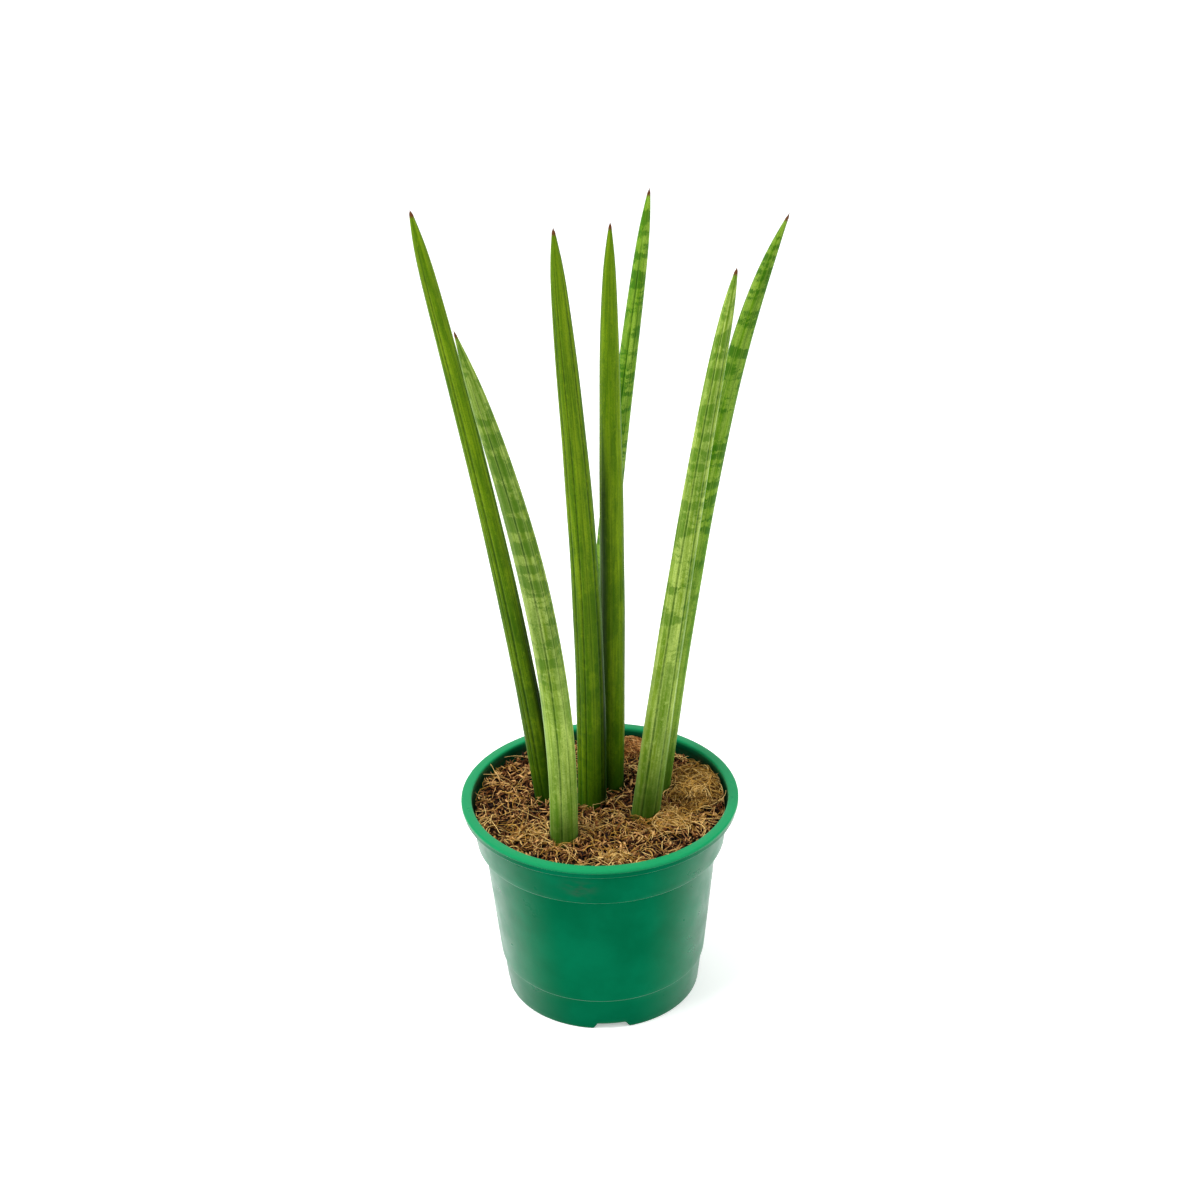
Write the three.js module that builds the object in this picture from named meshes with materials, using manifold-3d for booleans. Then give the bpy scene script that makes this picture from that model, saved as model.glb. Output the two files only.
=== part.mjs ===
// A potted snake plant of the kind with round leaves, in millimetres, +Z up.
// Seven leaves stand on their own in a bed of coir, which fills a turned green pot.
// The origin is the middle of the pot's foot, on the surface that the pot stands on.

import * as THREE from 'three';
import { mergeVertices } from 'three/addons/utils/BufferGeometryUtils.js';
import Module from 'manifold-3d';

const wasm = await Module();
wasm.setup();

// Pot: radii of its outer side, each inset taken from the one above it
const RIM_RADIUS = 65;
const LIP_WIDTH = 5; // flat top of the lip, from its outer edge to the pot's mouth
const BEAD_INSET = 0.7; // the lip's skirt, inside the bead at its top
const COLLAR_INSET = 4; // top of the collar, inside the rim
const COLLAR_DRAFT = 2.6; // how much the collar narrows downwards
const COLLAR_STEP = 3.3; // body below the collar, inside the collar's lower edge
const BODY_DRAFT = 6; // how much the body narrows downwards
const FOOT_STEP = 0.9; // foot band, inside the body's lower edge
const FOOT_DRAFT = 1.9; // how much the foot band narrows downwards
const WALL = 1.5;

// Pot: heights
const POT_HEIGHT = 101.8;
const BEAD_HEIGHT = 1.8;
const LIP_HEIGHT = 4.5;
const COLLAR_DEPTH = 22.8; // from the top of the lip to the collar's lower edge
const FOOT_HEIGHT = 18;
const STEP_SLOPE = 0.6; // height of the sloped shoulder at each step of the side
const FOOT_RECESS = 4; // room under the raised floor
const FLOOR_THICKNESS = 1.6;
const EDGE_ROUND = 0.8; // rounding of the lip's bead
const FOOT_RING_WIDTH = 2.2; // thickness of the ring that the pot stands on
const FOOT_CHAMFER = 0.4;

// Pot: notches in the foot ring and drain holes in the floor
const NOTCH_COUNT = 4;
const NOTCH_WIDTH = 17; // at the surface that the pot stands on
const NOTCH_HEIGHT = 2.8;
const NOTCH_SLANT = 1.8; // how far each side leans in
const NOTCH_TURN = THREE.MathUtils.degToRad(4.3); // first notch, right of the front
const HOLE_COUNT = 6;
const HOLE_RADIUS = 4.5;
const HOLE_INSET = 15.3; // from the foot's outer edge to the middle of a hole

// Coir bed
const GAP = 0.3; // between pieces that rest on each other
const HEADSPACE = 6.8; // from the top of the lip down to the coir
const BED_CROWN = 1.2; // how much higher the coir is in the middle
const BUMP_HEIGHT = 0.55;
const BUMP_LENGTH = 19; // from one bump to the next
const BUMP_WAVES = [[0.9, 0.4, 1.1], [-0.6, 0.8, 2.3], [0.3, -1.1, 0.4]]; // direction and phase
const BED_RINGS = 11;

// Leaves
const BURIED_DEPTH = 42; // how deep a leaf is planted
const TIP_SPINE = 3; // length of the dry point
const TIP_SPINE_RADIUS = 0.45;
const TIP_SHARPNESS = 14; // higher keeps the leaf full for longer before its point
const RIDGE_COUNT = 8;
const RIDGE_DEPTH = 0.035; // share of the girth
const PLANTING_MARGIN = 16; // from the pot's mouth to the furthest leaf's middle
const STEM_STEPS = 17;
const STEM_BUNCHING = 0.8; // lower sets a leaf's rings closer together towards its tip
const SPINE_SHOULDER = 0.4; // share of the dry point that keeps its full thickness

// Loose fibre on top of the bed
const FIBRE_RADIUS = 0.35;
const FIBRE_REST = 1.1; // height of its middle where it lies on the bed's bumps
const FIBRE_SIDES = 6;
const FIBRE_STEPS = 14;
const CLUMP_RINGS = 7;

// The plant is turned about its axis so that its leaves reach as far to the left as to the right
const PLANT_TURN = THREE.MathUtils.degToRad(15);

const POT_SEGMENTS = 64;
const BED_SEGMENTS = 48;
const CLUMP_SEGMENTS = 24;
const HOLE_SEGMENTS = 20;
const FULL_TURN = 2 * Math.PI;

const mouthRadius = RIM_RADIUS - LIP_WIDTH;
const collarTopRadius = RIM_RADIUS - COLLAR_INSET;
const collarBottomRadius = collarTopRadius - COLLAR_DRAFT;
const bodyTopRadius = collarBottomRadius - COLLAR_STEP;
const bodyBottomRadius = bodyTopRadius - BODY_DRAFT;
const footTopRadius = bodyBottomRadius - FOOT_STEP;
const footRadius = footTopRadius - FOOT_DRAFT;
const holeCircleRadius = footRadius - HOLE_INSET;
const lipBottom = POT_HEIGHT - LIP_HEIGHT;
const collarBottom = POT_HEIGHT - COLLAR_DEPTH;
const floorTop = FOOT_RECESS + FLOOR_THICKNESS;
const bedTop = POT_HEIGHT - HEADSPACE;
const plantingRadius = mouthRadius - PLANTING_MARGIN;

// Each leaf: where it is planted (shares of the planting radius), how far its tip lies sideways
// and back from its foot, how high the tip stands above the bed, how far the middle bows
// sideways, how hard its last part flicks outwards, its girth radius, and how it tapers.
const LEAVES = [
  { name: 'leaf_back_left', spot: [-0.57, 0.18], reach: [-48.8, 6], rise: 285.5, bow: 4.4,
    flick: 1.7, girth: 5.8, taper: 0.36, hold: 1.2, turn: 0.2 },
  { name: 'leaf_front_left', spot: [-0.38, -0.62], reach: [-37.8, -14], rise: 252, bow: 12.1,
    flick: 2.8, girth: 6.6, taper: 0.64, hold: 3.8, turn: 0.9 },
  { name: 'leaf_middle_front', spot: [-0.085, 0.04], reach: [-10.5, -4], rise: 281.5, bow: 5,
    flick: 2.9, girth: 7, taper: 0.52, hold: 2.3, turn: 0.5 },
  { name: 'leaf_middle', spot: [0.125, 0.395], reach: [4, 8], rise: 275, bow: 1.9,
    flick: 3.1, girth: 6.1, taper: 0.52, hold: 2.9, turn: 1.3 },
  { name: 'leaf_middle_back', spot: [-0.1, 0.82], reach: [31.6, 22], rise: 280, bow: -3.6,
    flick: -1.8, girth: 5.3, taper: 0.41, hold: 2.1, turn: 0.1 },
  { name: 'leaf_front_right', spot: [0.48, -0.2], reach: [39.2, -10], rise: 268.5, bow: -1.2,
    flick: 2, girth: 6.8, taper: 0.52, hold: 1.4, turn: 0.7 },
  { name: 'leaf_back_right', spot: [0.635, 0.3], reach: [58.4, 20], rise: 275, bow: -3,
    flick: 12.2, girth: 5.6, taper: 0.48, hold: 4.5, turn: 1.1 },
];

// Clumps of fibre on the bed: middle (shares of the mouth's radius), half sizes along x and y,
// height, and turn about their middle
const CLUMPS = [
  { name: 'fibre_tuft_back', spot: [0.26, 0.83], half: [8, 7.5], height: 5.6, turn: -0.3 },
  { name: 'fibre_mat_right', spot: [0.78, 0.17], half: [8.5, 21], height: 3.4, turn: 0.16 },
];

// Single long fibres: points along each, as x and y (shares of the mouth's radius) and the
// height of the fibre's middle above the bed
const LOOSE_FIBRES = [
  { name: 'loose_fibre_left',
    points: [[-0.87, 0.45, 6.4], [-0.83, 0.41, 3.6], [-0.775, 0.33, FIBRE_REST], [-0.71, 0.25, 1.4]] },
  { name: 'loose_fibre_front',
    points: [[-0.91, -0.03, 2], [-0.86, -0.22, FIBRE_REST], [-0.79, -0.38, 2.4], [-0.75, -0.52, 4.6]] },
  { name: 'loose_fibre_right',
    points: [[0.58, -0.18, FIBRE_REST], [0.72, -0.35, 2.6], [0.8, -0.45, 3.4], [0.75, -0.57, FIBRE_REST]] },
];

function plastic(color) {
  return new THREE.MeshStandardMaterial({ color, roughness: 0.35, metalness: 0 });
}

function living(color) {
  return new THREE.MeshStandardMaterial({ color, roughness: 0.5, metalness: 0 });
}

function fibrous(color) {
  return new THREE.MeshStandardMaterial({ color, roughness: 0.95, metalness: 0 });
}

// Joins shared corners and drops triangles that have collapsed to a line
function closed(geometry) {
  const bare = geometry.clone();
  bare.deleteAttribute('normal');
  bare.deleteAttribute('uv');
  const merged = mergeVertices(bare, 1e-4);
  const index = merged.getIndex().array;
  const kept = [];
  for (let i = 0; i < index.length; i += 3) {
    const [a, b, c] = [index[i], index[i + 1], index[i + 2]];
    if (a !== b && b !== c && c !== a) {
      kept.push(a, b, c);
    }
  }
  merged.setIndex(kept);
  return merged;
}

function toSolid(geometry) {
  const merged = closed(geometry);
  return new wasm.Manifold(new wasm.Mesh({
    numProp: 3,
    vertProperties: Float32Array.from(merged.getAttribute('position').array),
    triVerts: Uint32Array.from(merged.getIndex().array),
  }));
}

function toGeometry(solid) {
  const mesh = solid.getMesh();
  const geometry = new THREE.BufferGeometry();
  geometry.setAttribute('position', new THREE.BufferAttribute(Float32Array.from(mesh.vertProperties), 3));
  geometry.setIndex(new THREE.BufferAttribute(Uint32Array.from(mesh.triVerts), 1));
  return geometry;
}

function piece(name, geometry, material) {
  const mesh = new THREE.Mesh(geometry, material);
  mesh.name = name;
  return mesh;
}

// A profile of [radius, height] points, turned about the Z axis
function turned(profile, segments) {
  const points = profile.map(([radius, height]) => new THREE.Vector2(radius, height));
  const geometry = new THREE.LatheGeometry(points, segments);
  geometry.rotateX(Math.PI / 2);
  return geometry;
}

function mix(a, b, share) {
  return a + (b - a) * share;
}

// Outer radius of the pot's side at a height, from the foot to the underside of the lip
function sideRadius(height) {
  if (height < FOOT_HEIGHT) {
    return mix(footRadius, footTopRadius, height / FOOT_HEIGHT);
  }
  if (height < collarBottom) {
    return mix(bodyBottomRadius, bodyTopRadius, (height - FOOT_HEIGHT) / (collarBottom - FOOT_HEIGHT));
  }
  const share = (height - collarBottom) / (lipBottom - collarBottom);
  return mix(collarBottomRadius, collarTopRadius, Math.min(share, 1));
}

// Inner side of the pot from the floor up to the mouth, moved in by a clearance
function innerSide(clearance) {
  const inset = WALL + clearance;
  const shoulder = STEP_SLOPE + WALL;
  return [
    [sideRadius(floorTop) - inset, floorTop + clearance],
    [footTopRadius - inset, FOOT_HEIGHT],
    [bodyBottomRadius - inset, FOOT_HEIGHT + shoulder],
    [bodyTopRadius - inset, collarBottom],
    [collarBottomRadius - inset, collarBottom + shoulder],
    [mouthRadius - clearance, POT_HEIGHT - LIP_HEIGHT],
  ];
}

function potBody() {
  const footInner = footRadius - FOOT_RING_WIDTH;
  const outer = [
    [footInner, 0],
    [footRadius - FOOT_CHAMFER, 0],
    [footRadius, FOOT_CHAMFER],
    [footTopRadius, FOOT_HEIGHT - STEP_SLOPE],
    [bodyBottomRadius, FOOT_HEIGHT],
    [bodyTopRadius, collarBottom],
    [collarBottomRadius, collarBottom + STEP_SLOPE],
    [collarTopRadius, lipBottom],
    [RIM_RADIUS - BEAD_INSET, lipBottom],
    [RIM_RADIUS - BEAD_INSET, POT_HEIGHT - BEAD_HEIGHT],
    [RIM_RADIUS, POT_HEIGHT - BEAD_HEIGHT],
    [RIM_RADIUS, POT_HEIGHT - EDGE_ROUND],
    [RIM_RADIUS - EDGE_ROUND, POT_HEIGHT],
    [mouthRadius + EDGE_ROUND, POT_HEIGHT],
    [mouthRadius, POT_HEIGHT - EDGE_ROUND],
  ];
  const inner = innerSide(0).reverse();
  const floor = [[0, floorTop], [0, FOOT_RECESS], [footInner, FOOT_RECESS]];
  const profile = [...outer, ...inner, ...floor, outer[0]];
  return toSolid(turned(profile, POT_SEGMENTS));
}

// One notch through the foot ring: a trapezium, wide at the bottom, pushed through the wall
function footNotch(angle) {
  const half = NOTCH_WIDTH / 2;
  const below = 1;
  const outline = new THREE.Shape();
  outline.moveTo(-half, -below);
  outline.lineTo(half, -below);
  outline.lineTo(half, 0);
  outline.lineTo(half - NOTCH_SLANT, NOTCH_HEIGHT);
  outline.lineTo(NOTCH_SLANT - half, NOTCH_HEIGHT);
  outline.lineTo(-half, 0);
  const start = holeCircleRadius + HOLE_RADIUS;
  const geometry = new THREE.ExtrudeGeometry(outline, { depth: RIM_RADIUS - start, bevelEnabled: false });
  geometry.rotateX(Math.PI / 2);
  geometry.translate(0, -start, 0);
  geometry.rotateZ(angle);
  return toSolid(geometry);
}

function drainHole(angle) {
  const depth = 3 * FLOOR_THICKNESS;
  const geometry = new THREE.CylinderGeometry(HOLE_RADIUS, HOLE_RADIUS, depth, HOLE_SEGMENTS);
  geometry.rotateX(Math.PI / 2);
  geometry.translate(holeCircleRadius, 0, FOOT_RECESS + FLOOR_THICKNESS / 2);
  geometry.rotateZ(angle);
  return toSolid(geometry);
}

function pot() {
  let solid = potBody();
  for (let i = 0; i < NOTCH_COUNT; i += 1) {
    solid = solid.subtract(footNotch(NOTCH_TURN + i * FULL_TURN / NOTCH_COUNT));
  }
  for (let i = 0; i < HOLE_COUNT; i += 1) {
    solid = solid.subtract(drainHole(i * FULL_TURN / HOLE_COUNT));
  }
  return piece('pot', toGeometry(solid), plastic(0x0b7a4b));
}

// Height of the coir's surface: a low crown with waves in three directions
function bedHeight(x, y) {
  const crown = BED_CROWN * (1 - (x * x + y * y) / (mouthRadius * mouthRadius));
  const wave = FULL_TURN / BUMP_LENGTH;
  let bumps = 0;
  for (const [alongX, alongY, phase] of BUMP_WAVES) {
    bumps += Math.sin(wave * (alongX * x + alongY * y) + phase);
  }
  return bedTop + crown + BUMP_HEIGHT * bumps;
}

// Radius of the pot's bore at a height near the top of the bed
function boreRadius(height) {
  const [low, high] = innerSide(0).slice(-2);
  return mix(low[0], high[0], (height - low[1]) / (high[1] - low[1]));
}

// The bed without its sockets: a turned block whose flat top is laid over the bumps
function coirBlock() {
  const side = innerSide(GAP).slice(0, -1);
  const edge = boreRadius(bedTop) - 2 * GAP;
  const top = Array.from({ length: BED_RINGS + 1 }, (_, i) => [edge * (1 - i / BED_RINGS), bedTop]);
  const geometry = turned([[0, side[0][1]], ...side, ...top], BED_SEGMENTS);
  const position = geometry.getAttribute('position');
  for (let i = 0; i < position.count; i += 1) {
    if (Math.abs(position.getZ(i) - bedTop) < 1e-3) {
      position.setZ(i, bedHeight(position.getX(i), position.getY(i)));
    }
  }
  return geometry;
}

// The room in which loose fibre can lie: clear of the bore, and above the bed by the gap
function roomAboveBed() {
  const lowest = bedTop - 3 * BUMP_HEIGHT;
  const edge = boreRadius(lowest) - 2 * GAP;
  const column = turned([[0, lowest], [edge, lowest], [edge, POT_HEIGHT], [0, POT_HEIGHT]], BED_SEGMENTS);
  const bed = coirBlock();
  bed.translate(0, 0, GAP);
  return toSolid(column).subtract(toSolid(bed));
}

// Middle of a leaf at a share s of its rise: straight below the bed, bowed above it
function leafMiddle(leaf, s) {
  const foot = leaf.spot.map((share) => share * plantingRadius);
  const bend = leaf.flick * (Math.max(s, 0) ** 6 - s) + 4 * leaf.bow * s * (1 - Math.max(s, 0));
  return new THREE.Vector3(
    foot[0] + leaf.reach[0] * s + bend,
    foot[1] + leaf.reach[1] * s,
    bedTop + leaf.rise * s,
  );
}

function leafRadius(leaf, s) {
  const above = Math.max(s, 0);
  const taper = 1 - leaf.taper * above ** leaf.hold;
  return leaf.girth * taper * Math.sqrt(Math.max(1 - above ** TIP_SHARPNESS, 0));
}

// Girth profile of a leaf from its buried end to its dry point, as [radius, share of the rise]
function leafProfile(leaf, clearance) {
  const buried = -(BURIED_DEPTH + clearance) / leaf.rise;
  const spineStart = 1 - TIP_SPINE / leaf.rise;
  const profile = [[0, buried]];
  for (let i = 0; i <= STEM_STEPS; i += 1) {
    const along = Math.sin((i / STEM_STEPS) * Math.PI / 2) ** STEM_BUNCHING;
    const s = mix(buried, spineStart, along);
    profile.push([Math.max(leafRadius(leaf, s), 2 * TIP_SPINE_RADIUS) + clearance, s]);
  }
  profile.push([TIP_SPINE_RADIUS + clearance, mix(spineStart, 1, SPINE_SHOULDER)]);
  profile.push([0, 1 + clearance / leaf.rise]);
  return profile;
}

// A turned profile with shallow ridges round it, carried along the leaf's own middle line
function leafGeometry(leaf, clearance) {
  const points = leafProfile(leaf, clearance).map(([radius, s]) => new THREE.Vector2(radius, s));
  const geometry = new THREE.LatheGeometry(points, 2 * RIDGE_COUNT);
  const position = geometry.getAttribute('position');
  for (let i = 0; i < position.count; i += 1) {
    const s = position.getY(i);
    const angle = Math.atan2(position.getX(i), position.getZ(i));
    const radius = Math.hypot(position.getX(i), position.getZ(i));
    const ridge = 1 + RIDGE_DEPTH * (Math.cos(RIDGE_COUNT * angle) - 1) / 2;
    const middle = leafMiddle(leaf, s);
    position.setXYZ(
      i,
      middle.x + radius * ridge * Math.cos(angle + leaf.turn),
      middle.y + radius * ridge * Math.sin(angle + leaf.turn),
      middle.z,
    );
  }
  return closed(geometry);
}

function coirSubstrate() {
  let solid = toSolid(coirBlock());
  for (const leaf of LEAVES) {
    solid = solid.subtract(toSolid(leafGeometry(leaf, GAP)));
  }
  return piece('coir_substrate', toGeometry(solid), fibrous(0x6f5330));
}

// A low dome of matted fibre, cut to the bed below it and kept clear of the bore and the leaves
function fibreClump(clump) {
  const profile = [[0, -clump.height]];
  for (let i = 0; i <= CLUMP_RINGS; i += 1) {
    const angle = (i / CLUMP_RINGS) * Math.PI / 2;
    profile.push([Math.cos(angle), clump.height * Math.sin(angle)]);
  }
  const geometry = turned(profile, CLUMP_SEGMENTS);
  geometry.scale(clump.half[0], clump.half[1], 1);
  geometry.rotateZ(clump.turn);
  const middle = clump.spot.map((share) => share * mouthRadius);
  geometry.translate(middle[0], middle[1], bedHeight(...middle));
  let solid = toSolid(geometry).intersect(roomAboveBed());
  for (const leaf of LEAVES) {
    solid = solid.subtract(toSolid(leafGeometry(leaf, GAP)));
  }
  return piece(clump.name, toGeometry(solid), fibrous(0xa9813f));
}

// One long fibre: a thin round rod along a smooth curve, whose lift is counted from the bed
function looseFibre(fibre) {
  const chosen = fibre.points.map(([x, y, lift]) => (
    new THREE.Vector3(x * mouthRadius, y * mouthRadius, lift)
  ));
  const points = new THREE.CatmullRomCurve3(chosen).getPoints(FIBRE_STEPS);
  for (const point of points) {
    point.z += bedHeight(point.x, point.y);
  }
  const outline = new THREE.Shape();
  for (let i = 0; i < FIBRE_SIDES; i += 1) {
    const angle = i * FULL_TURN / FIBRE_SIDES;
    const corner = [FIBRE_RADIUS * Math.cos(angle), FIBRE_RADIUS * Math.sin(angle)];
    if (i === 0) {
      outline.moveTo(...corner);
    } else {
      outline.lineTo(...corner);
    }
  }
  const geometry = new THREE.ExtrudeGeometry(outline, {
    steps: FIBRE_STEPS,
    extrudePath: new THREE.CatmullRomCurve3(points),
  });
  return piece(fibre.name, closed(geometry), fibrous(0xcaa763));
}

const plant = new THREE.Group();
plant.rotation.z = PLANT_TURN;
plant.add(pot());
plant.add(coirSubstrate());
for (const leaf of LEAVES) {
  plant.add(piece(leaf.name, leafGeometry(leaf, 0), living(0x5f8f35)));
}
for (const clump of CLUMPS) {
  plant.add(fibreClump(clump));
}
for (const fibre of LOOSE_FIBRES) {
  plant.add(looseFibre(fibre));
}

export default plant;
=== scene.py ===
import math

import bpy
import numpy as np
from mathutils import Matrix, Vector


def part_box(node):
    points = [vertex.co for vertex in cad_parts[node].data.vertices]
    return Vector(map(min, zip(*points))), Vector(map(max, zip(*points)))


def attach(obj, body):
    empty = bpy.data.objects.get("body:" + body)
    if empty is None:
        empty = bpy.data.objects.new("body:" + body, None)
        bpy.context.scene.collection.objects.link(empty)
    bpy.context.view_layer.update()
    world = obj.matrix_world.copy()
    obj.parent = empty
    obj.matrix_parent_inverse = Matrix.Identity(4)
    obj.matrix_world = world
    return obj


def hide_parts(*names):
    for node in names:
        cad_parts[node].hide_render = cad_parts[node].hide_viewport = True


# A potted snake plant with round leaves: the looks of its pot, its coir and its seven leaves.
# Sizes are in metres. MM turns a size given in millimetres into metres.
MM = 0.001
FULL_TURN = 2 * math.pi
PLANT_TURN = math.radians(15)  # the plant's front is turned this far from -Y towards +X

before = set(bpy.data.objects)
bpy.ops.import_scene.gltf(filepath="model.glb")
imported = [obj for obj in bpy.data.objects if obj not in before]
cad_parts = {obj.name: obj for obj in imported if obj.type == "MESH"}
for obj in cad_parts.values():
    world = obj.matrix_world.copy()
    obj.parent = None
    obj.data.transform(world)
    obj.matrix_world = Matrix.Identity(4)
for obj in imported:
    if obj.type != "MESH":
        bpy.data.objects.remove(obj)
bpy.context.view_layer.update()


# ---- camera

CAMERA_PLACE = (1.94 * MM, -835.7 * MM, 629.2 * MM)  # before the plant's turn
CAMERA_LENS = 63
CAMERA_SENSOR = 36
CAMERA_PITCH = math.radians(27.02)
CAMERA_ROLL = math.radians(-1.16)


def make_camera():
    """A long lens in front of the plant and above it, which looks down and leans a little."""
    data = bpy.data.cameras.new("camera")
    data.lens = CAMERA_LENS
    data.sensor_width = CAMERA_SENSOR
    forward = np.array([0, math.cos(CAMERA_PITCH), -math.sin(CAMERA_PITCH)])
    right = np.array([1.0, 0, 0])
    up = np.cross(right, forward)
    across = math.cos(CAMERA_ROLL) * right + math.sin(CAMERA_ROLL) * up
    upright = math.cos(CAMERA_ROLL) * up - math.sin(CAMERA_ROLL) * right
    stand = Matrix.Identity(4)
    for row in range(3):
        stand[row][:] = (across[row], upright[row], -forward[row], CAMERA_PLACE[row])
    camera = bpy.data.objects.new("camera", data)
    bpy.context.scene.collection.objects.link(camera)
    camera.matrix_world = Matrix.Rotation(PLANT_TURN, 4, "Z") @ stand
    bpy.context.scene.camera = camera


# ---- arrays

def distinct_points(node):
    """Corners of a CAD node, each once, as rows of x, y and z."""
    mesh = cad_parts[node].data
    corners = np.empty(len(mesh.vertices) * 3, np.float32)
    mesh.vertices.foreach_get("co", corners)
    return np.unique(np.round(corners.reshape(-1, 3).astype(float), 6), axis=0)


def smooth_through(x, knots, values):
    """Smooth curve through the values at the knots, read at x. Each stretch is a cubic whose
    slope at a knot is the mean of the slopes on its two sides, weighted towards the nearer one."""
    step = np.diff(knots)
    slope = np.diff(values) / step
    inner = (step[1:] * slope[:-1] + step[:-1] * slope[1:]) / (step[1:] + step[:-1])
    tangent = np.concatenate([slope[:1], inner, slope[-1:]])
    i = np.clip(np.searchsorted(knots, x) - 1, 0, len(step) - 1)
    t = np.clip((x - knots[i]) / step[i], 0, 1)
    start = values[i] * (1 + 2 * t) * (1 - t) ** 2 + step[i] * tangent[i] * t * (1 - t) ** 2
    end = values[i + 1] * t * t * (3 - 2 * t) - step[i] * tangent[i + 1] * t * t * (1 - t)
    return start + end


def waves(x, y, rng, length, count=14):
    """Uneven ground of about unit height: a sum of plane waves in random directions, whose
    lengths lie round the given one."""
    total = np.zeros_like(x)
    for _ in range(count):
        heading, phase = rng.uniform(0, FULL_TURN, 2)
        pace = FULL_TURN / (length * rng.uniform(0.7, 1.4))
        total += np.cos(pace * (x * math.cos(heading) + y * math.sin(heading)) + phase)
    return total / math.sqrt(count / 2)


def turned(x, y, angle=PLANT_TURN):
    """Points turned about the plant's axis."""
    return x * math.cos(angle) - y * math.sin(angle), x * math.sin(angle) + y * math.cos(angle)


def field(*parts):
    """Vectors from their parts, each of which is spread out over the whole grid."""
    return np.stack(np.broadcast_arrays(*parts), -1)


def angle_between(a, b):
    """How far the heading a is turned from b, between minus and plus half a turn."""
    return np.angle(np.exp(1j * (a - b)))


# ---- meshes

def make_piece(name, points, quads, triangles, finish, values=None):
    """A piece with smooth faces from rows of points and rows of corner numbers. Values are
    numbers or vectors for each point, which its material reads by name."""
    corners = np.concatenate([quads.ravel(), triangles.ravel()]).astype(np.int32)
    sizes = np.concatenate([np.full(len(quads), 4), np.full(len(triangles), 3)])
    mesh = bpy.data.meshes.new(name)
    mesh.vertices.add(len(points))
    mesh.vertices.foreach_set("co", points.astype(np.float32).ravel())
    mesh.loops.add(len(corners))
    mesh.loops.foreach_set("vertex_index", corners)
    mesh.polygons.add(len(sizes))
    mesh.polygons.foreach_set("loop_start", (np.cumsum(sizes) - sizes).astype(np.int32))
    mesh.update(calc_edges=True)
    mesh.shade_smooth()
    for key, data in (values or {}).items():
        kind = "FLOAT_VECTOR" if data.ndim == 2 else "FLOAT"
        field = "vector" if data.ndim == 2 else "value"
        attribute = mesh.attributes.new(key, kind, "POINT")
        attribute.data.foreach_set(field, data.astype(np.float32).ravel())
    mesh.materials.append(finish)
    piece = bpy.data.objects.new(name, mesh)
    bpy.context.scene.collection.objects.link(piece)
    return piece


def skin(rows, columns):
    """Corner numbers of a closed tube: quads between rows of points that run round it, and
    triangles to one more point at its first end and one at its last."""
    row, column = np.meshgrid(np.arange(rows - 1), np.arange(columns), indexing="ij")
    after = (column + 1) % columns
    low, high = row * columns, (row + 1) * columns
    quads = np.stack([low + column, low + after, high + after, high + column], -1)
    around = np.arange(columns)
    beyond = (around + 1) % columns
    top = (rows - 1) * columns
    first = np.stack([beyond, around, np.full(columns, rows * columns)], -1)
    last = np.stack([top + around, top + beyond, np.full(columns, rows * columns + 1)], -1)
    return quads.reshape(-1, 4), np.concatenate([first, last])


def with_ends(grid, first, last):
    """Points of a tube's rows, followed by its two end points."""
    return np.concatenate([grid.reshape(-1, grid.shape[-1]), [first], [last]])


def rod_rows(line, thick, sides, flat=1.0):
    """Rows of points round a line, or round each of many: at every point of a line a section
    with the given sides stands across it, of its own thickness and as flat as is given."""
    forward = np.gradient(line, axis=-2)
    forward /= np.linalg.norm(forward, axis=-1, keepdims=True) + 1e-12
    across = np.cross(forward, [0, 0, 1.0])
    across /= np.linalg.norm(across, axis=-1, keepdims=True) + 1e-9
    upright = np.cross(forward, across)
    corner = (np.arange(sides) * FULL_TURN / sides)[:, None]
    reach = thick[..., None, None]
    wide = reach * across[..., None, :] * np.cos(corner)
    high = flat * reach * upright[..., None, :] * np.sin(corner)
    return line[..., None, :] + wide + high


def make_rods(name, line, thick, sides, finish, tint_at, flat=1.0):
    """A piece of closed rods, one along each line, with a tint worked out from its points."""
    count, steps = thick.shape
    grid = rod_rows(line, thick, sides, flat).reshape(count, -1, 3)
    points = np.concatenate([grid, line[:, :1], line[:, -1:]], 1)
    quads, caps = skin(steps, sides)
    shift = (np.arange(count) * points.shape[1])[:, None, None]
    return make_piece(
        name, points.reshape(-1, 3), (quads + shift).reshape(-1, 4), (caps + shift).reshape(-1, 3),
        finish, {"tint": tint_at(points).ravel()})


# ---- material nodes

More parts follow.
